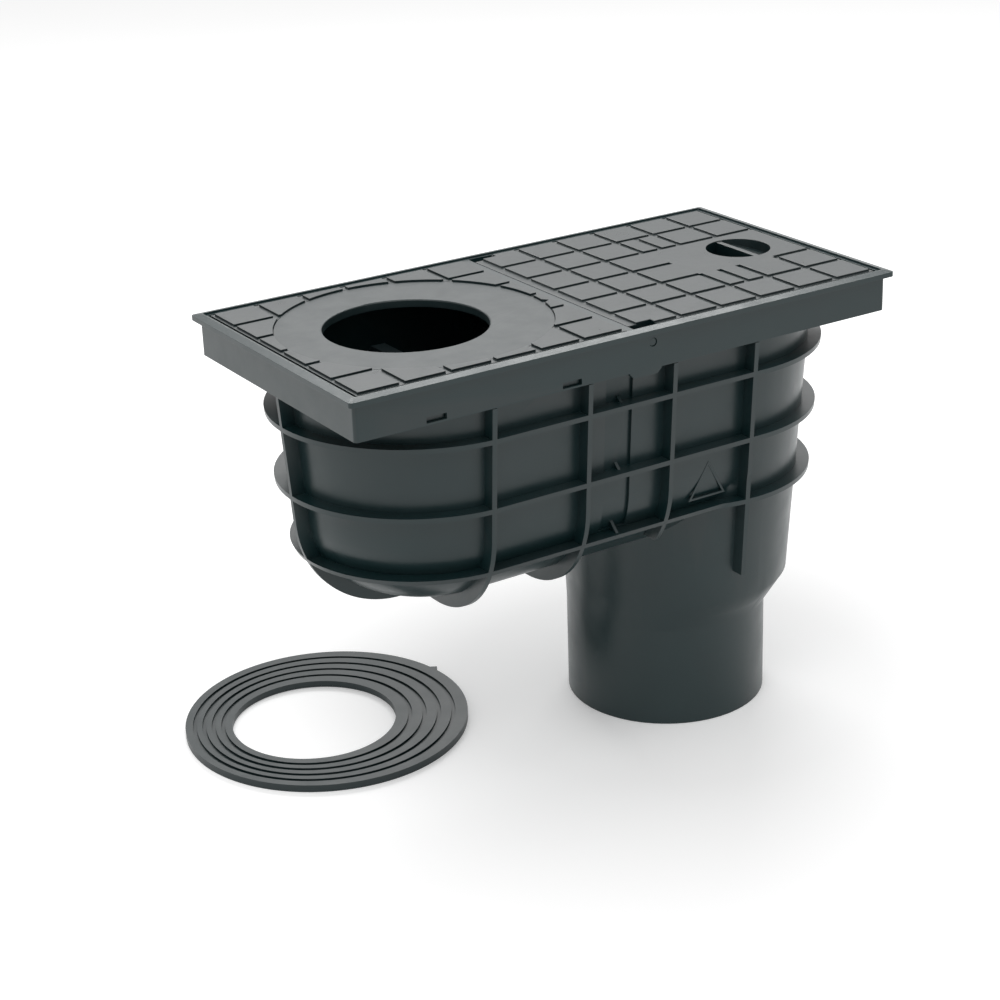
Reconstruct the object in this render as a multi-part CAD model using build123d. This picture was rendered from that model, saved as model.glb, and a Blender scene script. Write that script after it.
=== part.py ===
from build123d import *
import os
from math import radians, tan

# Downpipe gully: a ribbed chamber with a bowl under the downpipe, an outlet spigot under the other
# end, and a rectangular frame on top that holds a fixed downpipe cover and a hinged inspection cover.
# The origin is on the spigot's axis at its lower end. +X runs along the frame away from the downpipe,
# +Z is up.

# Spigot and shoulder
spigot_diameter = 110.0
spigot_wall = 3.2
spigot_height = 55.0
shoulder_height = 17.0

# Chamber
wall = 3.0
draft_angle = 4.0
mouth_half_width = 72.6
outlet_centre_x = 7.0
bowl_centre_x = -152.0
bowl_floor_z = 107.0
bowl_corner_radius = 50.0
flange_top_z = 230.5
flange_thickness = 3.0

# Ribs on the chamber
rib_height = 7.2
rib_thickness = 2.6
level_rib_drop = (25.5, 62.0, 97.3)
bowl_rib_x = (-157.0, -102.0)
middle_rib_x = -51.0
middle_rib_end_z = 121.0
outlet_rib_x = 0.0
outlet_rib_end_z = 90.0

# Guide for the flap frame, and the pinch that it leaves outside
guide_x = -80.0
guide_width = 20.0
guide_depth = 7.0
pinch_width = 16.0
pinch_depth = 4.0
pinch_end_rise = 29.0
gusset_height = 8.0
gusset_reach = 3.5
gusset_thickness = 1.6

# Covers and their tile relief
tile = 25.0
tiles_long = 6
tiles_wide = 6
groove_width = 3.2
groove_depth = 1.0
cover_height = 11.1
cover_plate = 2.5
cover_skirt = 2.5
cover_rib = 2.0
strip_width = 8.0
frame_centre_x = -74.0

# Frame
frame_wall = 3.0
frame_drop = 8.0
frame_gap = 1.2
lip_overhang = 3.4
lip_thickness = 2.5
rim_rise = 1.0
rim_land = 0.5
rim_step = 1.8
ledge_thickness = 2.5
ledge_width = 7.0
corner_radius = 2.0
transom_width = 4.0
tab_length = 19.0
tab_drop = 3.0
tab_chamfer = 2.4

# Clips between frame and chamber
clip_x = (-189.0, -113.0)
clip_slot_length = 11.0
clip_slot_height = 3.0
clip_slot_rise = 1.0
clip_tongue_inset = 2.0

# Inspection cover hinge
hinge_inset = 5.0
hinge_depth = 8.4
hinge_pin_radius = 2.25
hinge_pin_length = 12.0
hinge_lug_radius = 4.4
hinge_lug_length = 9.0
hinge_lip = 3.4
hinge_lip_thickness = 1.4
hinge_notch_length = 10.0
hinge_notch_width = 5.0
sweep_clearance = 0.4

# Finger recess
finger_x = 50.0
finger_radius = 17.3
finger_bar = 3.0
finger_bar_drop = 0.5
pocket_shallow = 1.4
pocket_deep = 5.5
pocket_wall = 2.0

# Reducer rings, with their bore off centre
ring_thickness = 4.0
ring_radius = 69.5
ring_bore_radius = 41.5
ring_offset = 4.8
ring_edge = 0.7
ring_grooves = 4
ring_groove_width = 2.2
ring_groove_depth = 1.2
nib_width = 5.0
nib_reach = 3.0
nib_root = 2.0
nib_angle = 10.0
ring_seat_width = 5.5
seat_boss_wall = 3.2
seat_boss_plate = 2.5
spare_radius = 78.0
spare_bore_radius = 45.0
spare_offset = 8.0
spare_x = -181.5
spare_y = 69.0

# Leaf basket
basket_rim_gap = 5.5
basket_rim_width = 5.0
basket_rim_thickness = 3.0
basket_seat_drop = 30.5
basket_floor_rise = 26.0
basket_floor_radius = 40.0
basket_wall = 2.0
basket_slots = 16
basket_slot_width = 5.0
basket_slot_margin = 12.0
basket_holes = 10
basket_hole_radius = 3.0
basket_hole_circle = 26.0
lug_thickness = 4.0
lug_width = 14.0
lug_angles = (60, 120, 180, 240, 300)
handle_width = 8.0
handle_thickness = 3.0
handle_rise = 18.0
handle_knee_share = 0.7

# Odour flap and its frame
flap_frame_thickness = 3.0
flap_frame_drop = 17.5
window_half_width = 36.0
window_sill_rise = 33.0
window_head = 27.0
seal_width = 4.5
seal_thickness = 1.5
flap_thickness = 2.5
flap_border = 5.0
flap_pin_radius = 2.0
flap_barrel_radius = 3.6
flap_ear_thickness = 3.0
flap_hinge_rise = 8.0

# Clearances
seat_gap = 0.3
running_gap = 0.05

# Cutters run this far past a face, or past the whole part
past = 1.0
far = 400.0

# Levels and outlines worked out from the sizes above
ledge_top_z = flange_top_z + ledge_thickness
cover_base_z = ledge_top_z + seat_gap
cover_top_z = cover_base_z + cover_height
base_top_z = cover_top_z - groove_depth
plate_bottom_z = base_top_z - cover_plate
lip_edge_z = cover_top_z - rim_rise
frame_bottom_z = flange_top_z - frame_drop
level_rib_z = tuple(flange_top_z - drop for drop in level_rib_drop)
pinch_end_z = bowl_floor_z + pinch_end_rise
cover_length = tile * tiles_long
cover_width = tile * tiles_wide
covers_length = 2 * cover_length + strip_width
inner_length = covers_length + 2 * frame_gap
inner_width = cover_width + 2 * frame_gap
outer_length = inner_length + 2 * frame_wall
outer_width = inner_width + 2 * frame_wall
downpipe_cover_x = frame_centre_x - (strip_width + cover_length) / 2
inspection_cover_x = frame_centre_x + (strip_width + cover_length) / 2
hinge_x = inspection_cover_x - cover_length / 2 + hinge_inset
hinge_z = cover_top_z - hinge_depth
sweep_reach = ((hinge_inset + hinge_lip) ** 2 + (hinge_depth - groove_depth) ** 2) ** 0.5
sweep_radius = sweep_reach + sweep_clearance
ring_bottom_z = base_top_z - ring_thickness
basket_seat_z = flange_top_z - basket_seat_drop
basket_floor_z = bowl_floor_z + basket_floor_rise
basket_seat_room = mouth_half_width - basket_seat_drop * tan(radians(draft_angle)) - wall
basket_rim_radius = basket_seat_room - basket_rim_gap
plate_x = guide_x - flap_frame_thickness / 2
flap_frame_face_x = guide_x + flap_frame_thickness / 2
flap_frame_top_z = flange_top_z - flap_frame_drop
window_bottom_z = bowl_floor_z + window_sill_rise
window_top_z = flap_frame_top_z - window_head
flap_x = flap_frame_face_x + seal_thickness + seat_gap + flap_thickness / 2
flap_hinge_z = window_top_z + flap_hinge_rise
flap_pin_x = flap_frame_face_x + flap_barrel_radius + seat_gap


def block(x0, x1, y0, y1, z0, z1):
    """A box given by its limits."""
    centre = Pos((x0 + x1) / 2, (y0 + y1) / 2, (z0 + z1) / 2)
    return centre * Box(x1 - x0, y1 - y0, z1 - z0)


def upright(x, y, radius, z0, z1):
    """A vertical cylinder between two levels."""
    return Pos(x, y, (z0 + z1) / 2) * Cylinder(radius, z1 - z0)


def across(x, z, radius, y0, y1):
    """A cylinder along Y."""
    return Pos(x, (y0 + y1) / 2, z) * Rot(90, 0, 0) * Cylinder(radius, y1 - y0)


def half_width(z):
    """Half the chamber's outer width at a level, on its drafted wall."""
    return mouth_half_width - (flange_top_z - z) * tan(radians(draft_angle))


def chamber(offset, top_z=flange_top_z):
    """The chamber's outer form, grown by offset: a trough with a rounded floor, and the outlet cone."""
    floor_z = bowl_floor_z - offset
    middle_x = (outlet_centre_x + bowl_centre_x) / 2
    floor = SlotCenterToCenter(outlet_centre_x - bowl_centre_x, 2 * (half_width(floor_z) + offset))
    trough = extrude(Pos(middle_x, 0, floor_z) * floor, amount=top_z - floor_z, taper=-draft_angle)
    trough = fillet(trough.edges().group_by(Axis.Z)[0], bowl_corner_radius + offset)
    foot_z = spigot_height + shoulder_height
    return trough + loft([
        Pos(outlet_centre_x, 0, foot_z) * Circle(half_width(foot_z) + offset),
        Pos(outlet_centre_x, 0, top_z) * Circle(half_width(top_z) + offset),
    ])


def spigot(inset):
    """The shoulder and spigot, made smaller by inset."""
    foot = -past if inset else 0.0
    radius = spigot_diameter / 2 - inset
    cone_foot_z = spigot_height + shoulder_height
    shoulder = loft([
        Pos(0, 0, spigot_height) * Circle(radius),
        Pos(outlet_centre_x, 0, cone_foot_z) * Circle(half_width(cone_foot_z) - inset),
    ])
    return shoulder + upright(0, 0, radius, foot, spigot_height)


def rib_net():
    """The slabs that the ribs stand in, cut later to the rib envelope."""
    half = rib_thickness / 2
    rib_top_z = frame_bottom_z - seat_gap
    net = block(-far, middle_rib_x, -half, half, bowl_floor_z - rib_height, rib_top_z)
    for z in level_rib_z:
        net += block(-far, far, -far, far, z - half, z + half)
    for x in bowl_rib_x:
        net += block(x - half, x + half, -far, far, 0, rib_top_z)
    net += block(middle_rib_x - half, middle_rib_x + half, -far, far, middle_rib_end_z, rib_top_z)
    net += block(outlet_rib_x - half, outlet_rib_x + half, -far, far, outlet_rib_end_z, rib_top_z)
    return net


def gusset(level, side):
    """A small fin in the pinch, standing on a level rib."""
    root = half_width(level) - pinch_depth - past
    tip = half_width(level) + gusset_reach
    points = [(side * root, level), (side * tip, level), (side * root, level + gusset_height)]
    fin = Plane.YZ.offset(guide_x - gusset_thickness / 2) * make_face(Polyline(*points, close=True))
    return extrude(fin, amount=gusset_thickness)


def gully_body():
    """The one-piece moulding: chamber, ribs, flange, spigot, guide, basket lugs and clip hooks."""
    bowl = chamber(0) + spigot(0)
    half = pinch_width / 2
    pinch = block(guide_x - half, guide_x + half, -far, far, pinch_end_z, frame_bottom_z)
    bowl -= pinch & (chamber(past) - chamber(-pinch_depth))
    bowl += rib_net() & chamber(rib_height)
    for level in level_rib_z:
        for side in (-1, 1):
            bowl += gusset(level, side)
    reach_x = inner_length / 2 - seat_gap
    reach_y = inner_width / 2 - seat_gap
    bowl += block(
        frame_centre_x - reach_x, frame_centre_x + reach_x, -reach_y, reach_y,
        flange_top_z - flange_thickness, flange_top_z,
    )
    bowl -= chamber(-wall, flange_top_z + past)
    bowl -= spigot(spigot_wall)

    guide_top_z = flange_top_z - flange_thickness
    guide = block(guide_x - guide_width / 2, guide_x + guide_width / 2, -far, far, 0, guide_top_z)
    bowl += guide & (chamber(-wall / 2) - chamber(-wall - guide_depth))
    slot_half = flap_frame_thickness / 2 + seat_gap
    slot = block(guide_x - slot_half, guide_x + slot_half, -far, far, 0, guide_top_z + past)
    bowl -= slot & chamber(-guide_depth)

    inside = chamber(-wall / 2)
    lug_reach = basket_rim_radius - basket_rim_width
    half = lug_width / 2
    for angle in lug_angles:
        lug = block(lug_reach, far, -half, half, basket_seat_z - lug_thickness, basket_seat_z)
        bowl += (Pos(bowl_centre_x, 0, 0) * Rot(0, 0, angle) * lug) & inside

    hook_bottom_z = frame_bottom_z + clip_slot_rise + seat_gap
    hook_top_z = hook_bottom_z + clip_slot_height - 2 * seat_gap
    for x in clip_x:
        for side in (-1, 1):
            half = clip_slot_length / 2 - seat_gap
            root = half_width(hook_bottom_z) - past
            tip = inner_width / 2 + frame_wall - clip_tongue_inset
            web = block(x - half, x + half, root, reach_y, hook_bottom_z, flange_top_z)
            tongue = block(x - half, x + half, root, tip, hook_bottom_z, hook_top_z)
            bowl += (web + tongue) if side > 0 else mirror(web + tongue, about=Plane.XZ)

    bowl -= across(hinge_x, hinge_z, sweep_radius, -reach_y - past, reach_y + past)
    return bowl


def rounded_bar(length, width, radius, z0, z1):
    """A rectangular prism with rounded upright edges, centred on the frame."""
    sketch = Pos(frame_centre_x, 0, z0) * RectangleRounded(length, width, radius)
    return extrude(sketch, amount=z1 - z0)


def top_frame():
    """The frame: walls, lip with a sloped top, ledge, transom, clip slots and hinge holes."""
    lip_length = outer_length + 2 * lip_overhang
    lip_width = outer_width + 2 * lip_overhang
    frame = rounded_bar(outer_length, outer_width, corner_radius, frame_bottom_z, lip_edge_z)
    frame += rounded_bar(lip_length, lip_width, corner_radius, lip_edge_z - lip_thickness, lip_edge_z)
    slope = (lip_width - inner_width) / 2 - rim_step - rim_land
    frame += loft([
        Pos(frame_centre_x, 0, lip_edge_z) * RectangleRounded(lip_length, lip_width, corner_radius),
        Pos(frame_centre_x, 0, cover_top_z)
        * RectangleRounded(lip_length - 2 * slope, lip_width - 2 * slope, corner_radius / 2),
    ], ruled=True)
    tab = block(hinge_x - tab_length + hinge_inset, hinge_x + hinge_inset,
                -outer_width / 2, outer_width / 2, frame_bottom_z - tab_drop, frame_bottom_z)
    tab = chamfer(tab.edges().filter_by(Axis.Y).group_by(Axis.Z)[0], tab_chamfer)
    frame += tab
    opening_length = inner_length - 2 * ledge_width
    opening_width = inner_width - 2 * ledge_width
    frame -= block(frame_centre_x - inner_length / 2, frame_centre_x + inner_length / 2,
                   -inner_width / 2, inner_width / 2, frame_bottom_z - tab_drop, flange_top_z)
    frame -= block(frame_centre_x - inner_length / 2, frame_centre_x + inner_length / 2,
                   -inner_width / 2, inner_width / 2, ledge_top_z, cover_top_z)
    frame -= rounded_bar(inner_length + 2 * rim_step, inner_width + 2 * rim_step, corner_radius / 2,
                         base_top_z, cover_top_z + past)
    frame -= block(frame_centre_x - opening_length / 2, frame_centre_x + opening_length / 2,
                   -opening_width / 2, opening_width / 2, flange_top_z, ledge_top_z)

    transom_x = frame_centre_x - strip_width / 2
    frame += block(transom_x, transom_x + transom_width, -inner_width / 2, inner_width / 2,
                   flange_top_z, base_top_z)
    frame += block(transom_x - ledge_width, transom_x, -inner_width / 2, inner_width / 2,
                   flange_top_z, ledge_top_z)
    frame -= across(hinge_x, hinge_z, sweep_radius, -inner_width / 2, inner_width / 2)

    slot_bottom_z = frame_bottom_z + clip_slot_rise
    for x in clip_x:
        frame -= block(x - clip_slot_length / 2, x + clip_slot_length / 2, -outer_width, outer_width,
                       slot_bottom_z, slot_bottom_z + clip_slot_height)
    frame -= across(hinge_x, hinge_z, hinge_pin_radius, -outer_width, outer_width)
    return frame


def line_across(x, y0, y1):
    """A tile groove along Y."""
    return block(x - groove_width / 2, x + groove_width / 2, y0, y1, base_top_z, cover_top_z + past)


def line_along(y, x0, x1):
    """A tile groove along X."""
    return block(x0, x1, y - groove_width / 2, y + groove_width / 2, base_top_z, cover_top_z + past)


def plain_cover(centre_x):
    """A cover before its tile relief: plate, skirt, a half groove round its edge and ribs under it."""
    x0 = centre_x - cover_length / 2
    x1 = centre_x + cover_length / 2
    half = cover_width / 2
    cover = block(x0, x1, -half, half, cover_base_z, cover_top_z)
    cover -= block(x0 + cover_skirt, x1 - cover_skirt, -half + cover_skirt, half - cover_skirt,
                   cover_base_z, plate_bottom_z)
    inset = groove_width / 2
    around = block(x0 - past, x1 + past, -half - past, half + past, base_top_z, cover_top_z + past)
    cover -= around - block(x0 + inset, x1 - inset, -half + inset, half - inset,
                            base_top_z - past, cover_top_z + 2 * past)
    rib_base_z = (cover_base_z + plate_bottom_z) / 2
    for k in range(1, tiles_long):
        x = x0 + k * tile
        cover += block(x - cover_rib / 2, x + cover_rib / 2, past - half, half - past,
                       rib_base_z, plate_bottom_z)
    for k in range(1, tiles_wide):
        y = -half + k * tile
        cover += block(x0 + past, x1 - past, y - cover_rib / 2, y + cover_rib / 2,
                       rib_base_z, plate_bottom_z)
    return cover


def on_ring_seat(shape):
    """Turns a ring or its notch over and sets it in the downpipe cover's recess."""
    return Pos(downpipe_cover_x, 0, base_top_z) * Rot(180, 0, 0) * shape


def downpipe_cover():
    """The fixed cover, with a recess and seat for the reducer ring."""
    x0 = downpipe_cover_x - cover_length / 2
    x1 = downpipe_cover_x + cover_length / 2
    half = cover_width / 2
    seat_radius = ring_radius + seat_gap
    cover = plain_cover(downpipe_cover_x)
    boss_base_z = ring_bottom_z - seat_gap - seat_boss_plate
    cover += upright(downpipe_cover_x, 0, seat_radius + seat_boss_wall, boss_base_z, base_top_z)
    hole_radius = seat_radius - ring_seat_width
    cover -= upright(downpipe_cover_x, 0, hole_radius, cover_base_z - past, cover_top_z + past)
    cover -= upright(downpipe_cover_x, 0, seat_radius, ring_bottom_z - seat_gap, cover_top_z + past)
    notch_depth = groove_depth + ring_thickness + seat_gap
    cover -= on_ring_seat(Pos(0, 0, -groove_depth) * nib_form(ring_radius, seat_gap, notch_depth))
    for k in range(1, tiles_long):
        cover -= line_across(x0 + k * tile, -half, half)
    for k in range(1, tiles_wide):
        cover -= line_along(-half + k * tile, x0, x1)
    return cover


def inspection_cover():
    """The hinged cover: finger recess, plain panel beside it, a lip over the hinge and two lugs."""
    x0 = inspection_cover_x - cover_length / 2
    x1 = inspection_cover_x + cover_length / 2
    half = cover_width / 2
    panel_x0 = x1 - 3 * tile
    panel_x1 = x1 - tile
    cover = plain_cover(inspection_cover_x)
    cover += block(x0 - hinge_lip, x0 + past, -half, half, base_top_z - hinge_lip_thickness, base_top_z)
    pocket_base_z = cover_top_z - pocket_deep - pocket_wall
    above_z = cover_top_z + past
    cover += upright(finger_x, 0, finger_radius + pocket_wall, pocket_base_z, cover_top_z)
    bar_left = finger_x - finger_bar / 2
    bar_right = finger_x + finger_bar / 2
    hole = upright(finger_x, 0, finger_radius, cover_base_z, above_z)
    cover -= hole & block(x0, bar_left, -half, half, cover_base_z, above_z)
    cover -= hole & block(bar_left, bar_right, -half, half, cover_top_z - finger_bar_drop, above_z)
    slope = [
        (bar_right, cover_top_z - pocket_shallow), (bar_right, above_z),
        (finger_x + finger_radius, above_z), (finger_x + finger_radius, cover_top_z - pocket_deep),
    ]
    wedge = Plane.XZ.offset(-half) * make_face(Polyline(*slope, close=True))
    cover -= hole & extrude(wedge, amount=cover_width)

    for k in range(1, tiles_long):
        x = x0 + k * tile
        if x > panel_x0 - tile / 2:
            cover -= line_across(x, tile, half)
            cover -= line_across(x, -half, -tile)
        else:
            cover -= line_across(x, -half, half)
    for side in (-1, 1):
        y = sorted((side * tile, side * 2 * tile))
        cover -= line_across(panel_x0 + tile / 2, *y)
        cover -= line_along(side * 2 * tile, x0, x1)
    cover -= line_along(tile, x0, x1)
    cover -= line_along(-tile, x0, panel_x0)
    cover -= line_along(-tile, panel_x1, x1)
    cover -= line_along(0, x0, panel_x0)

    for side in (-1, 1):
        y = sorted((side * (half - hinge_notch_width), side * (half + past)))
        cover -= block(x0 - hinge_lip - past, x0 + hinge_notch_length, *y, plate_bottom_z, above_z)
        y = sorted((side * (half - hinge_lug_length), side * half))
        cover += across(hinge_x, hinge_z, hinge_lug_radius, *y)
        cover += block(hinge_x - hinge_lug_radius, hinge_x + hinge_lug_radius, *y, hinge_z, plate_bottom_z)
        bore_end = inner_width / 2 + frame_wall - hinge_pin_length - past
        deep = sorted((side * bore_end, side * (half + past)))
        cover -= across(hinge_x, hinge_z, hinge_pin_radius + running_gap, *deep)
    return cover


def cover_hinge_pins():
    """The two stub pins that the inspection cover swings on."""
    outside = outer_width / 2 - seat_gap
    inside = outside - hinge_pin_length
    return [
        across(hinge_x, hinge_z, hinge_pin_radius, inside, outside),
        across(hinge_x, hinge_z, hinge_pin_radius, -outside, -inside),
    ]


def nib_form(radius, gap, height):
    """The pointed nib on a ring's edge, or its notch when gap is given, standing on z = 0."""
    half = nib_width / 2 + gap
    tip = radius + nib_reach + gap
    root = radius - nib_root
    points = [(root, -half), (radius, -half), (tip, 0), (radius, half), (root, half)]
    return Rot(0, 0, nib_angle) * extrude(make_face(Polyline(*points, close=True)), amount=height)


def ring(radius, bore, offset):
    """A reducer ring lying grooved side up on z = 0; each groove steps from the bore to the rim."""
    disc = upright(0, 0, radius, 0, ring_thickness) + nib_form(radius, 0, ring_thickness)
    disc -= upright(-offset, 0, bore, -past, ring_thickness + past)
    lower_rims = disc.edges().filter_by(GeomType.CIRCLE).group_by(Axis.Z)[0]
    disc = fillet(lower_rims.sort_by(SortBy.LENGTH)[0], ring_edge)
    for k in range(1, ring_grooves + 1):
        share = k / (ring_grooves + 1)
        middle = bore + share * (radius - bore)
        x = -offset * (1 - share)
        level = ring_thickness - ring_groove_depth
        groove = upright(x, 0, middle + ring_groove_width / 2, level, ring_thickness + past)
        groove -= upright(x, 0, middle - ring_groove_width / 2, level, ring_thickness + past)
        disc -= groove
    return disc


def reducer_ring():
    """The fitted ring, its smooth side up, flush with the bottom of the tile grooves."""
    return on_ring_seat(ring(ring_radius, ring_bore_radius, ring_offset))


def spare_reducer_ring():
    """The larger ring laid beside the gully, its grooved side up."""
    return Pos(spare_x, spare_y, 0) * ring(spare_radius, spare_bore_radius, spare_offset)


def leaf_basket():
    """The lift-out basket: rim, tapered slotted wall, pierced floor and a fixed bow handle."""
    rim_base_z = basket_seat_z + seat_gap
    rim_top_z = rim_base_z + basket_rim_thickness
    neck = basket_rim_radius - basket_rim_width - seat_gap
    outline = [
        (0, basket_floor_z), (basket_floor_radius, basket_floor_z), (neck, rim_base_z),
        (basket_rim_radius, rim_base_z), (basket_rim_radius, rim_top_z), (neck - basket_wall, rim_top_z),
        (basket_floor_radius - basket_wall, basket_floor_z + basket_wall), (0, basket_floor_z + basket_wall),
    ]
    profile = Plane.XZ * make_face(Polyline(*outline, close=True))
    basket = revolve(profile, axis=Axis.Z)
    slot_base_z = basket_floor_z + basket_slot_margin
    slot_top_z = rim_base_z - basket_slot_margin
    half = basket_slot_width / 2
    slot = block(basket_floor_radius / 2, basket_rim_radius, -half, half, slot_base_z, slot_top_z)
    for k in range(basket_slots):
        basket -= Rot(0, 0, 360 * (k + 0.5) / basket_slots) * slot
    hole = upright(0, 0, basket_hole_radius, basket_floor_z - past, basket_floor_z + basket_wall + past)
    basket -= hole
    for k in range(basket_holes):
        basket -= Rot(0, 0, 360 * k / basket_holes) * Pos(basket_hole_circle, 0, 0) * hole

    span = neck - basket_wall / 2
    knee = span * handle_knee_share
    crown_z = rim_top_z + handle_rise
    half = handle_thickness / 2
    outside = [(span + half, rim_base_z), (knee + half, crown_z)]
    inside = [(knee - half, crown_z - handle_thickness), (span - half, rim_base_z)]
    right = outside + inside
    left = [(-y, z) for y, z in right]
    outline = [right[0], right[1], left[1], left[0], left[3], left[2], right[2], right[3]]
    bow = Plane.YZ.offset(-handle_width / 2) * make_face(Polyline(*outline, close=True))
    basket += extrude(bow, amount=handle_width)
    return Pos(bowl_centre_x, 0, 0) * basket


def flap_frame():
    """The lift-out partition in the guide, with the flap's window and two hinge ears."""
    plate = block(plate_x, flap_frame_face_x, -far, far, 0, flap_frame_top_z)
    plate = plate & chamber(-guide_depth - seat_gap)
    plate -= block(plate_x - past, flap_frame_face_x + past, -window_half_width, window_half_width,
                   window_bottom_z, window_top_z)
    for side in (-1, 1):
        inner = window_half_width + flap_border + seat_gap
        y = sorted((side * inner, side * (inner + flap_ear_thickness)))
        plate += block(flap_frame_face_x, flap_pin_x, *y,
                       flap_hinge_z - flap_barrel_radius, flap_hinge_z + flap_barrel_radius)
        plate += across(flap_pin_x, flap_hinge_z, flap_barrel_radius, *y)
        plate -= across(flap_pin_x, flap_hinge_z, flap_pin_radius, *y)
    return plate


def flap_seal():
    """The flat rubber seal round the window."""
    outer = block(flap_frame_face_x, flap_frame_face_x + seal_thickness,
                  -window_half_width - seal_width, window_half_width + seal_width,
                  window_bottom_z - seal_width, window_top_z + seal_width / 2)
    return outer - block(flap_frame_face_x - past, flap_frame_face_x + seal_thickness + past,
                         -window_half_width, window_half_width, window_bottom_z, window_top_z)


def odour_flap():
    """The flap that hangs shut against the seal."""
    half = window_half_width + flap_border
    plate = block(flap_x - flap_thickness / 2, flap_x + flap_thickness / 2, -half, half,
                  window_bottom_z - flap_border, flap_hinge_z)
    plate += across(flap_pin_x, flap_hinge_z, flap_barrel_radius, -half, half)
    plate -= across(flap_pin_x, flap_hinge_z, flap_pin_radius + running_gap, -half, half)
    return plate


def flap_hinge_pin():
    """The pin through the flap and both ears."""
    half = window_half_width + flap_border + seat_gap + flap_ear_thickness
    return across(flap_pin_x, flap_hinge_z, flap_pin_radius, -half, half)


def solids_of(shape):
    """Every solid in a shape or a list of shapes."""
    shapes = shape if isinstance(shape, list) else [shape]
    return [solid for item in shapes for solid in item.solids()]


nodes = {
    "gully_body": gully_body,
    "top_frame": top_frame,
    "downpipe_cover": downpipe_cover,
    "inspection_cover": inspection_cover,
    "cover_hinge_pins": cover_hinge_pins,
    "reducer_ring": reducer_ring,
    "spare_reducer_ring": spare_reducer_ring,
    "leaf_basket": leaf_basket,
    "flap_frame": flap_frame,
    "flap_seal": flap_seal,
    "odour_flap": odour_flap,
    "flap_hinge_pin": flap_hinge_pin,
}

os.makedirs("parts", exist_ok=True)
for name, build in nodes.items():
    found = solids_of(build())
    whole = found[0] if len(found) == 1 else Compound(children=found)
    export_step(whole, f"parts/{name}.step")
    print(name, len(found), "solid(s)")
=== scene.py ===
"""Looks of a downpipe gully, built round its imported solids."""

import math

import bmesh
import bpy
from mathutils import Matrix, Quaternion, Vector


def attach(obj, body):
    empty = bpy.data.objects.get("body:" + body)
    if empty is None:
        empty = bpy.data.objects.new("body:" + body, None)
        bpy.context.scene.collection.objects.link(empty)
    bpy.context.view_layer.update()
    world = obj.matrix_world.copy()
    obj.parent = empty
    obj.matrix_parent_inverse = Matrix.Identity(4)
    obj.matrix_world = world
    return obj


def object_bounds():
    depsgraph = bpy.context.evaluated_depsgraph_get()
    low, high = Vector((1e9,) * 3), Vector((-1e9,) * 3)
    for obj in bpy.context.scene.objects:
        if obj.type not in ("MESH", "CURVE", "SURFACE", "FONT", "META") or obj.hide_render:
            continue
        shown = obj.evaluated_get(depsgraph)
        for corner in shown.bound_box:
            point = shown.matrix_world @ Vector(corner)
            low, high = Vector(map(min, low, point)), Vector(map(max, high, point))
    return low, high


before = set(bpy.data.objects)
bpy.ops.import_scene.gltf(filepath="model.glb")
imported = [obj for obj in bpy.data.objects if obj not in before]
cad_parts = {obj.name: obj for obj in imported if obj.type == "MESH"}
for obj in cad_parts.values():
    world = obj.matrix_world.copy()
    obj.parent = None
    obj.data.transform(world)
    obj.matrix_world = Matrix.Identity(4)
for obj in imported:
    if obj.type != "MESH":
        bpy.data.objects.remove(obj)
cad_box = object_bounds()

bl_info = {
    "name": "Downpipe gully",
    "version": (1, 0, 0),
    "blender": (4, 5, 0),
    "location": "3D View > Sidebar > Gully",
    "description": "Finishes of the gully's moulded pieces, its moulded mark and a studio stage",
    "category": "Object",
}

MM = 0.001

# Camera, as it stood for the photograph
CAMERA_PLACE = Vector((-674.1, -909.0, 583.5)) * MM
CAMERA_YAW = 58.03
CAMERA_PITCH = 22.63
CAMERA_ROLL = 2.045
CAMERA_LENS = 79.91
SENSOR_WIDTH = 36.0

# The side wall that carries the moulded mark: its mouth, and how far it leans in on the way down
WALL_HALF_WIDTH = 72.6 * MM
WALL_TOP = 230.5 * MM
WALL_DRAFT = math.radians(4.0)

# How the solids' meshes are cleaned before their edges are rounded
WELD_WITHIN = 0.005 * MM
FLAT_WITHIN = math.radians(0.3)
SHARP_ABOVE = math.radians(35)
MARK_EDGE = 0.15 * MM

# How far handling polishes and dulls the plastic's roughness, and the colour of the rubber's bloom
POLISHED_BY = 0.04
DULLED_BY = 0.05
BLOOM = "#1d1e1e"

# The stage: brightness of the white room as a light, the floor's paler patches, how much the floor is
# lifted near the spigot and away from it, and the softboxes' names, places, sizes and brightness
ROOM_LIGHT = 0.5
FLOOR_PALER = "#f5f5f5"
FLOOR_LIFT_REACH = (0.12, 0.32)
FLOOR_LIFT = (0.2, 0.45)
SOFTBOXES = (
    ("softbox_behind", (0.59, 1.07, 1.26), (1.1, 0.5), 6.4),
    ("softbox_above", (-0.5, -0.5, 1.6), (1.2, 1.2), 2.2),
)


def linear(code):
    """An sRGB hex colour as linear red, green and blue."""
    parts = [int(code[k:k + 2], 16) / 255 for k in (1, 3, 5)]
    return tuple(c / 12.92 if c <= 0.04045 else ((c + 0.055) / 1.055) ** 2.4 for c in parts)


def colour_property(name, description, code):
    """A colour that a user can change, with its default from a hex code."""
    return bpy.props.FloatVectorProperty(
        name=name, description=description, default=linear(code), subtype="COLOR", size=3, min=0, max=1)


def length_property(name, description, millimetres):
    """A length that a user can change."""
    return bpy.props.FloatProperty(
        name=name, description=description, default=millimetres * MM, min=0, unit="LENGTH",
        subtype="DISTANCE", precision=4)


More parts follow.
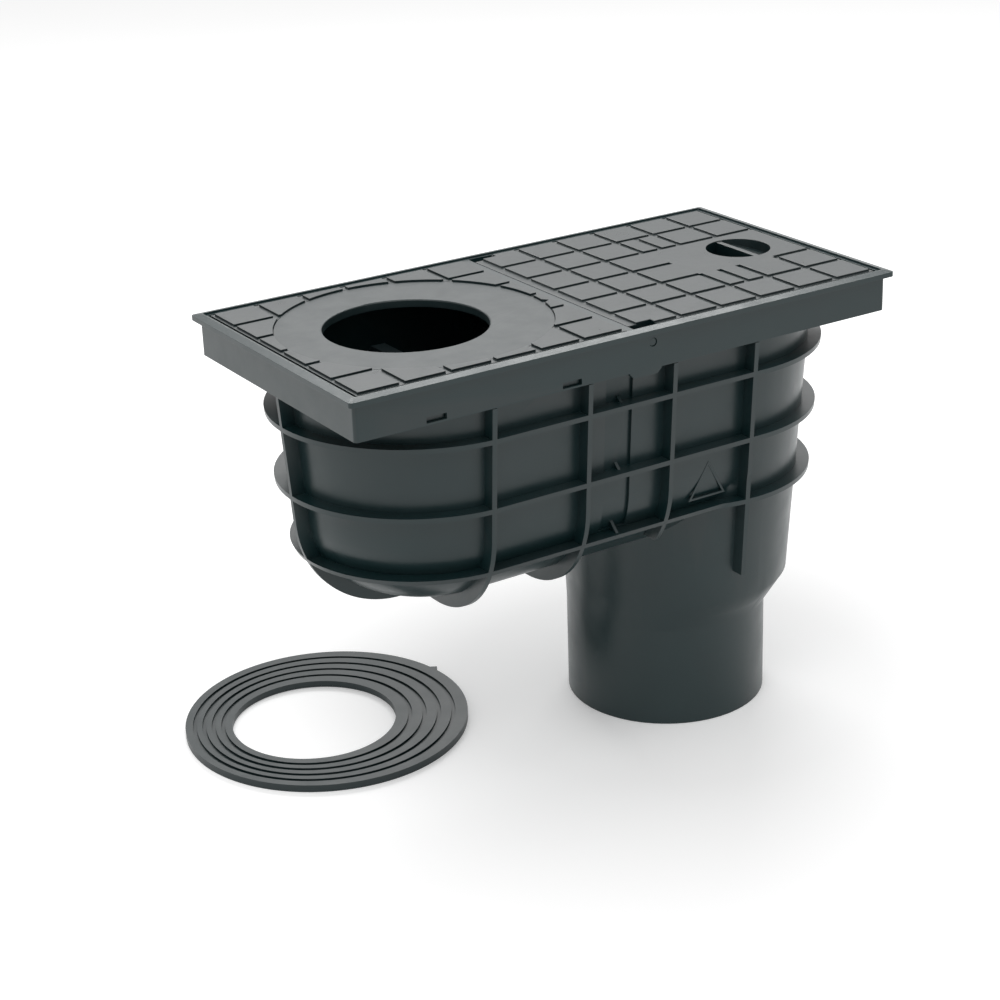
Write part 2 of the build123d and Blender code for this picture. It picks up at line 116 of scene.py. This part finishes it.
class GullyColours(bpy.types.PropertyGroup):
    """Colours of the gully's finishes"""

    body: colour_property("Body plastic", "Black polypropylene of the chamber and frame", "#102527")
    body_flow: colour_property("Flow marks", "Paler streaks where the plastic flowed in the mould", "#162d2f")
    cover: colour_property("Cover plastic", "Black polypropylene of the two covers", "#0e1f21")
    ring: colour_property("Ring plastic", "Black polypropylene of the reducer rings", "#0d1f21")
    inner: colour_property("Inner plastic", "Black polypropylene of the basket and the flap", "#0a1517")
    # This grey on convex edges is partly rubbed wear and partly a painted highlight along the rims.
    edge_wear_and_highlight: colour_property("Rubbed edges", "Greyed plastic on edges that are handled", "#2a3132")
    seal: colour_property("Seal rubber", "Rubber of the flap's seal", "#111212")
    steel: colour_property("Pin steel", "Drawn stainless steel of the flap's pin", "#b9b8b4")
    floor: colour_property("Floor", "Studio floor", "#f2f2f2")


class GullySizes(bpy.types.PropertyGroup):
    """Sizes of the small forms that are added to the gully"""

    moulded_edge: length_property("Moulded edge", "Radius on the outer edges of the large mouldings", 0.5)
    cover_edge: length_property("Cover edge", "Radius on the edges of the tiles", 0.35)
    thin_edge: length_property("Thin edge", "Radius on the edges of the small pieces", 0.25)
    mark_width: length_property("Mark width", "Width of the plain moulded triangle", 24.0)
    mark_line: length_property("Mark line", "Width of the triangle's raised line", 1.3)
    mark_height: length_property("Mark height", "How far the triangle stands out of the wall", 0.25)
    mark_x: bpy.props.FloatProperty(
        name="Mark place along", description="Middle of the triangle along the wall",
        default=-22 * MM, unit="LENGTH", subtype="DISTANCE")
    mark_z: length_property("Mark level", "Middle of the triangle above the floor", 146.0)


def add_node(tree, kind, settings=None, links=None):
    """Adds a node, sets its attributes and input values by name, and joins inputs to other nodes' outputs."""
    node = tree.nodes.new(kind)
    for name, value in (settings or {}).items():
        if hasattr(node, name):
            setattr(node, name, value)
        else:
            node.inputs[name].default_value = value
    for name, output in (links or {}).items():
        tree.links.new(output, node.inputs[name])
    return node


def per_metre(millimetres):
    """The texture scale at which a pattern repeats about once in that many millimetres."""
    return 1 / (millimetres * MM)


def new_material(name):
    """An empty node material with its output node."""
    material = bpy.data.materials.new(name)
    material.use_nodes = True
    tree = material.node_tree
    tree.nodes.clear()
    return material, tree, tree.nodes.new("ShaderNodeOutputMaterial")


def polypropylene(name, colour, flow_colour, roughness, grain_mm, grain_height_mm):
    """Carbon-black polypropylene: a dark base with flow marks, convex edges greyed partly as rubbed wear and
    partly as a painted highlight, and a moulded grain.
    """
    edge_wear_and_highlight = bpy.context.scene.gully_colours.edge_wear_and_highlight
    material, tree, output = new_material(name)
    place = add_node(tree, "ShaderNodeTexCoord").outputs["Object"]
    flow_mm = 60.0
    flow = add_node(
        tree, "ShaderNodeTexNoise",
        {"Scale": per_metre(flow_mm), "Detail": 3.0, "Roughness": 0.55, "Distortion": 0.8},
        {"Vector": place}).outputs["Fac"]
    tint = add_node(
        tree, "ShaderNodeMix", {"data_type": "RGBA", "A": (*colour, 1), "B": (*flow_colour, 1)},
        {"Factor": flow})
    # Convex edges, picked by pointiness, take the greyed colour: partly rubbed wear, partly a painted
    # highlight on the rims and edges.
    edge = add_node(
        tree, "ShaderNodeMapRange",
        {"From Min": 0.53, "From Max": 0.62, "To Min": 0.0, "To Max": 0.35},
        {"Value": add_node(tree, "ShaderNodeNewGeometry").outputs["Pointiness"]}).outputs["Result"]
    colours = add_node(
        tree, "ShaderNodeMix", {"data_type": "RGBA", "B": (*edge_wear_and_highlight, 1)},
        {"Factor": edge, "A": tint.outputs["Result"]}).outputs["Result"]

    handling_mm = 14.0
    handling = add_node(
        tree, "ShaderNodeTexNoise", {"Scale": per_metre(handling_mm), "Detail": 5.0, "Roughness": 0.6},
        {"Vector": place}).outputs["Fac"]
    gloss = add_node(
        tree, "ShaderNodeMapRange",
        {"From Min": 0.3, "From Max": 0.7,
         "To Min": roughness - POLISHED_BY, "To Max": roughness + DULLED_BY},
        {"Value": handling}).outputs["Result"]

    grain = add_node(
        tree, "ShaderNodeTexNoise", {"Scale": per_metre(grain_mm), "Detail": 2.0, "Roughness": 0.6},
        {"Vector": place}).outputs["Fac"]
    sink_mm = 35.0
    sink = add_node(
        tree, "ShaderNodeTexNoise", {"Scale": per_metre(sink_mm), "Detail": 1.0},
        {"Vector": place}).outputs["Fac"]
    sink_depth_mm = 0.5
    wavy = add_node(
        tree, "ShaderNodeBump", {"Strength": 0.35, "Distance": sink_depth_mm * MM}, {"Height": sink})
    bumpy = add_node(
        tree, "ShaderNodeBump", {"Strength": 0.5, "Distance": grain_height_mm * MM},
        {"Height": grain, "Normal": wavy.outputs["Normal"]})
    surface = add_node(
        tree, "ShaderNodeBsdfPrincipled", {"IOR": 1.49, "Metallic": 0.0},
        {"Base Color": colours, "Roughness": gloss, "Normal": bumpy.outputs["Normal"]})
    tree.links.new(surface.outputs["BSDF"], output.inputs["Surface"])
    return material


def injection_moulded_polypropylene():
    # Recycled black polypropylene out of a plain steel mould: a satin skin with soft, wide highlights,
    # slight waves where the wall sank over the ribs, and paler flow marks.
    colours = bpy.context.scene.gully_colours
    return polypropylene("injection_moulded_polypropylene", colours.body, colours.body_flow, 0.32, 1.2, 0.02)


def spark_eroded_polypropylene():
    # The covers' mould was lightly spark eroded: a fine even grain that breaks up the highlights.
    # The real grain of 0.3 mm is too fine to show, so it is drawn at 1 mm.
    colours = bpy.context.scene.gully_colours
    return polypropylene("spark_eroded_polypropylene", colours.cover, colours.cover, 0.31, 1.0, 0.02)


def blasted_polypropylene():
    # The rings' turned mould was bead blasted: a dull, even skin that gathers light from far round, so
    # that it looks greyer than the covers.
    colours = bpy.context.scene.gully_colours
    return polypropylene("blasted_polypropylene", colours.ring, colours.ring, 0.42, 1.5, 0.01)


def inner_polypropylene():
    # The same plastic inside, never handled: even and dark.
    colours = bpy.context.scene.gully_colours
    return polypropylene("inner_polypropylene", colours.inner, colours.inner, 0.4, 1.2, 0.02)


def moulded_nitrile_rubber():
    # Sheet rubber, stamped: almost no shine, with a dusty bloom.
    colours = bpy.context.scene.gully_colours
    material, tree, output = new_material("moulded_nitrile_rubber")
    place = add_node(tree, "ShaderNodeTexCoord").outputs["Object"]
    bloom_mm = 3.0
    bloom = add_node(
        tree, "ShaderNodeTexNoise", {"Scale": per_metre(bloom_mm), "Detail": 4.0},
        {"Vector": place}).outputs["Fac"]
    tint = add_node(
        tree, "ShaderNodeMix", {"data_type": "RGBA", "A": (*colours.seal, 1), "B": (*linear(BLOOM), 1)},
        {"Factor": bloom}).outputs["Result"]
    bloom_depth_mm = 0.03
    bumpy = add_node(
        tree, "ShaderNodeBump", {"Strength": 0.4, "Distance": bloom_depth_mm * MM}, {"Height": bloom})
    surface = add_node(
        tree, "ShaderNodeBsdfPrincipled", {"IOR": 1.52, "Roughness": 0.75},
        {"Base Color": tint, "Normal": bumpy.outputs["Normal"]})
    tree.links.new(surface.outputs["BSDF"], output.inputs["Surface"])
    return material


def drawn_stainless_steel():
    # Drawn through a die along Y: fine lines round which the highlight spreads.
    colours = bpy.context.scene.gully_colours
    material, tree, output = new_material("drawn_stainless_steel")
    place = add_node(tree, "ShaderNodeTexCoord").outputs["Object"]
    line_mm = 0.4
    line_stretch = 60
    line_depth_mm = 0.01
    across = per_metre(line_mm)
    stretched = add_node(
        tree, "ShaderNodeMapping", {"Scale": (across, across / line_stretch, across)},
        {"Vector": place}).outputs["Vector"]
    lines = add_node(
        tree, "ShaderNodeTexNoise", {"Scale": 1.0, "Detail": 3.0}, {"Vector": stretched}).outputs["Fac"]
    gloss = add_node(
        tree, "ShaderNodeMapRange", {"To Min": 0.22, "To Max": 0.4}, {"Value": lines}).outputs["Result"]
    bumpy = add_node(
        tree, "ShaderNodeBump", {"Strength": 0.3, "Distance": line_depth_mm * MM}, {"Height": lines})
    surface = add_node(
        tree, "ShaderNodeBsdfPrincipled", {"Metallic": 1.0, "Base Color": (*colours.steel, 1)},
        {"Roughness": gloss, "Normal": bumpy.outputs["Normal"]})
    tree.links.new(surface.outputs["BSDF"], output.inputs["Surface"])
    return material


def finish_node(name, material, edge_radius):
    """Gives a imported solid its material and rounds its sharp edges, which catch the light."""
    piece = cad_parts[name]
    piece.data.materials.clear()
    piece.data.materials.append(material)
    weld = piece.modifiers.new("joined_corners", "WELD")
    weld.merge_threshold = WELD_WITHIN
    flat = piece.modifiers.new("whole_faces", "DECIMATE")
    flat.decimate_type = "DISSOLVE"
    flat.angle_limit = FLAT_WITHIN
    bevel = piece.modifiers.new("moulded_edges", "BEVEL")
    bevel.width = edge_radius
    bevel.segments = 2
    bevel.limit_method = "ANGLE"
    bevel.angle_limit = SHARP_ABOVE
    normals = piece.modifiers.new("even_faces", "WEIGHTED_NORMAL")
    normals.keep_sharp = True
    return piece


def require(names):
    """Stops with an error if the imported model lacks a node."""
    missing = [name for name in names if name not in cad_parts]
    if missing:
        raise RuntimeError(f"the packed model has no node named {missing}")


class GULLY_OT_body(bpy.types.Operator):
    """Finishes the one-piece chamber and the frame"""

    bl_idname = "gully.body"
    bl_label = "Chamber and frame"

    def execute(self, context):
        names = ("gully_body", "top_frame", "cover_hinge_pins")
        require(names)
        material = injection_moulded_polypropylene()
        for name in names:
            finish_node(name, material, context.scene.gully_sizes.moulded_edge)
        return {"FINISHED"}


class GULLY_OT_covers(bpy.types.Operator):
    """Finishes the downpipe cover and the inspection cover"""

    bl_idname = "gully.covers"
    bl_label = "Covers"

    def execute(self, context):
        names = ("downpipe_cover", "inspection_cover")
        require(names)
        material = spark_eroded_polypropylene()
        for name in names:
            finish_node(name, material, context.scene.gully_sizes.cover_edge)
        return {"FINISHED"}


class GULLY_OT_rings(bpy.types.Operator):
    """Finishes the fitted and the loose reducer ring"""

    bl_idname = "gully.rings"
    bl_label = "Reducer rings"

    def execute(self, context):
        names = ("reducer_ring", "spare_reducer_ring")
        require(names)
        material = blasted_polypropylene()
        for name in names:
            finish_node(name, material, context.scene.gully_sizes.thin_edge)
        return {"FINISHED"}


class GULLY_OT_basket(bpy.types.Operator):
    """Finishes the leaf basket"""

    bl_idname = "gully.basket"
    bl_label = "Leaf basket"

    def execute(self, context):
        require(("leaf_basket",))
        finish_node("leaf_basket", inner_polypropylene(), context.scene.gully_sizes.thin_edge)
        return {"FINISHED"}


class GULLY_OT_flap(bpy.types.Operator):
    """Finishes the odour flap, its frame, seal and pin"""

    bl_idname = "gully.flap"
    bl_label = "Odour flap"

    def execute(self, context):
        edge = context.scene.gully_sizes.thin_edge
        require(("flap_frame", "odour_flap", "flap_seal", "flap_hinge_pin"))
        plastic = inner_polypropylene()
        finish_node("flap_frame", plastic, edge)
        finish_node("odour_flap", plastic, edge)
        finish_node("flap_seal", moulded_nitrile_rubber(), edge)
        finish_node("flap_hinge_pin", drawn_stainless_steel(), edge)
        return {"FINISHED"}


class GULLY_OT_mark(bpy.types.Operator):
    """Adds the plain triangle that is moulded on the chamber's side"""

    bl_idname = "gully.mark"
    bl_label = "Moulded triangle"

    def execute(self, context):
        sizes = context.scene.gully_sizes
        radius = sizes.mark_width / math.sqrt(3)
        inner = radius - 2 * sizes.mark_line
        corners = [math.radians(90 + 120 * k) for k in range(3)]
        shape = bmesh.new()
        rings = []
        sink = 0.4 * MM
        chamfer = 0.4 * MM
        shoulder = sizes.mark_height * 0.6
        levels = (
            (radius, -sink), (radius, shoulder), (radius - chamfer, sizes.mark_height),
            (inner + chamfer, sizes.mark_height), (inner, shoulder), (inner, -sink),
        )
        for reach, height in levels:
            rings.append([
                shape.verts.new((reach * math.cos(a), reach * math.sin(a), height)) for a in corners])
        for k, ring in enumerate(rings):
            after = rings[(k + 1) % len(rings)]
            for i in range(len(corners)):
                j = (i + 1) % len(corners)
                shape.faces.new((ring[i], ring[j], after[j], after[i]))
        bmesh.ops.recalc_face_normals(shape, faces=shape.faces)
        mesh = bpy.data.meshes.new("moulded_triangle")
        shape.to_mesh(mesh)
        shape.free()
        piece = bpy.data.objects.new("moulded_triangle", mesh)
        context.scene.collection.objects.link(piece)
        mesh.materials.append(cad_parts["gully_body"].data.materials[0])
        wall_y = -(WALL_HALF_WIDTH - (WALL_TOP - sizes.mark_z) * math.tan(WALL_DRAFT))
        upright = Matrix.Rotation(math.radians(90) + WALL_DRAFT, 4, "X")
        piece.matrix_world = Matrix.Translation((sizes.mark_x, wall_y, sizes.mark_z)) @ upright
        bevel = piece.modifiers.new("moulded_edges", "BEVEL")
        bevel.width = MARK_EDGE
        bevel.segments = 2
        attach(piece, "gully")
        return {"FINISHED"}


def area_lamp(name, place, aim, size, strength):
    """A softbox at place that faces aim; strength is its brightness, where a white surface is 1."""
    width, height = size
    data = bpy.data.lights.new(name, "AREA")
    data.shape = "RECTANGLE"
    data.size = width
    data.size_y = height
    data.energy = strength * math.pi * width * height
    lamp = bpy.data.objects.new(name, data)
    bpy.context.scene.collection.objects.link(lamp)
    lamp.location = place
    lamp.rotation_mode = "QUATERNION"
    lamp.rotation_quaternion = (Vector(aim) - Vector(place)).to_track_quat("-Z", "Y")
    lamp.visible_camera = False
    return lamp


def seen_directly(tree):
    """1 for rays that show the background itself: camera, glossy and transmission rays."""
    path = add_node(tree, "ShaderNodeLightPath")
    first = add_node(tree, "ShaderNodeMath", {"operation": "MAXIMUM"})
    tree.links.new(path.outputs["Is Camera Ray"], first.inputs[0])
    tree.links.new(path.outputs["Is Glossy Ray"], first.inputs[1])
    both = add_node(tree, "ShaderNodeMath", {"operation": "MAXIMUM"})
    tree.links.new(first.outputs["Value"], both.inputs[0])
    tree.links.new(path.outputs["Is Transmission Ray"], both.inputs[1])
    return both.outputs["Value"]


class GULLY_OT_stage(bpy.types.Operator):
    """Sets the floor, the softboxes, the white surroundings and the camera"""

    bl_idname = "gully.stage"
    bl_label = "Studio stage"

    def execute(self, context):
        scene = context.scene
        colours = scene.gully_colours
        scene.view_settings.view_transform = "Standard"

        world = bpy.data.worlds.new("white_studio")
        scene.world = world
        world.use_nodes = True
        tree = world.node_tree
        tree.nodes.clear()
        strength = add_node(
            tree, "ShaderNodeMix", {"A": ROOM_LIGHT, "B": 1.0}, {"Factor": seen_directly(tree)})
        background = add_node(
            tree, "ShaderNodeBackground", {"Color": (1, 1, 1, 1)}, {"Strength": strength.outputs["Result"]})
        output = add_node(tree, "ShaderNodeOutputWorld")
        tree.links.new(background.outputs["Background"], output.inputs["Surface"])

        material, tree, output = new_material("matt_studio_floor")
        place = add_node(tree, "ShaderNodeTexCoord").outputs["Object"]
        mottle_mm = 400.0
        mottle = add_node(
            tree, "ShaderNodeTexNoise", {"Scale": per_metre(mottle_mm), "Detail": 2.0}, {"Vector": place})
        tint = add_node(
            tree, "ShaderNodeMix",
            {"data_type": "RGBA", "A": (*colours.floor, 1), "B": (*linear(FLOOR_PALER), 1)},
            {"Factor": mottle.outputs["Fac"]})
        matt = add_node(tree, "ShaderNodeBsdfDiffuse", {}, {"Color": tint.outputs["Result"]})
        distance = add_node(
            tree, "ShaderNodeVectorMath", {"operation": "LENGTH"}, {"Vector": place}).outputs["Value"]
        near, far = FLOOR_LIFT_REACH
        near_lift, far_lift = FLOOR_LIFT
        lift = add_node(
            tree, "ShaderNodeMapRange",
            {"From Min": near, "From Max": far, "To Min": near_lift, "To Max": far_lift},
            {"Value": distance}).outputs["Result"]
        shown = add_node(tree, "ShaderNodeMix", {"A": 0.0}, {"B": lift, "Factor": seen_directly(tree)})
        glow = add_node(
            tree, "ShaderNodeEmission", {"Color": (1, 1, 1, 1)}, {"Strength": shown.outputs["Result"]})
        both = add_node(tree, "ShaderNodeAddShader")
        tree.links.new(matt.outputs["BSDF"], both.inputs[0])
        tree.links.new(glow.outputs["Emission"], both.inputs[1])
        tree.links.new(both.outputs["Shader"], output.inputs["Surface"])

        reach = 12.0
        under = -0.3 * MM
        mesh = bpy.data.meshes.new("studio_floor")
        corners = [
            (-reach, -reach, under), (reach, -reach, under), (reach, reach, under), (-reach, reach, under)]
        mesh.from_pydata(corners, [], [(0, 1, 2, 3)])
        floor = bpy.data.objects.new("studio_floor", mesh)
        scene.collection.objects.link(floor)
        mesh.materials.append(material)

        low, high = cad_box
        aim = (low + high) / 2
        for name, place, size, brightness in SOFTBOXES:
            area_lamp(name, place, aim, size, brightness)

        forward = Vector((
            math.cos(math.radians(CAMERA_PITCH)) * math.cos(math.radians(CAMERA_YAW)),
            math.cos(math.radians(CAMERA_PITCH)) * math.sin(math.radians(CAMERA_YAW)),
            -math.sin(math.radians(CAMERA_PITCH)),
        ))
        data = bpy.data.cameras.new("camera")
        data.lens = CAMERA_LENS
        data.sensor_width = SENSOR_WIDTH
        data.clip_start = 0.01
        data.clip_end = 100.0
        camera = bpy.data.objects.new("camera", data)
        scene.collection.objects.link(camera)
        camera.rotation_mode = "QUATERNION"
        roll = Quaternion(forward, math.radians(CAMERA_ROLL))
        camera.rotation_quaternion = roll @ forward.to_track_quat("-Z", "Y")
        camera.location = CAMERA_PLACE
        scene.camera = camera
        return {"FINISHED"}


OPERATORS = (
    GULLY_OT_body, GULLY_OT_covers, GULLY_OT_rings, GULLY_OT_basket, GULLY_OT_flap, GULLY_OT_mark,
    GULLY_OT_stage,
)


class GULLY_PT_panel(bpy.types.Panel):
    """Lists the gully's pieces, and the colours and sizes that can be changed"""

    bl_idname = "GULLY_PT_panel"
    bl_label = "Downpipe gully"
    bl_space_type = "VIEW_3D"
    bl_region_type = "UI"
    bl_category = "Gully"

    def draw(self, context):
        for group in (context.scene.gully_colours, context.scene.gully_sizes):
            for name in group.bl_rna.properties.keys():
                if name not in ("rna_type", "name"):
                    self.layout.prop(group, name)
        for operator in OPERATORS:
            self.layout.operator(operator.bl_idname)


CLASSES = (GullyColours, GullySizes, *OPERATORS, GULLY_PT_panel)


def register():
    """Registers the classes and their settings."""
    for item in CLASSES:
        bpy.utils.register_class(item)
    bpy.types.Scene.gully_colours = bpy.props.PointerProperty(type=GullyColours)
    bpy.types.Scene.gully_sizes = bpy.props.PointerProperty(type=GullySizes)


def unregister():
    """Removes the settings and the classes."""
    del bpy.types.Scene.gully_sizes
    del bpy.types.Scene.gully_colours
    for item in reversed(CLASSES):
        bpy.utils.unregister_class(item)


def main():
    """Builds everything in order."""
    register()
    bpy.ops.gully.body()
    bpy.ops.gully.covers()
    bpy.ops.gully.rings()
    bpy.ops.gully.basket()
    bpy.ops.gully.flap()
    bpy.ops.gully.mark()
    bpy.ops.gully.stage()


if __name__ == "__main__":
    main()
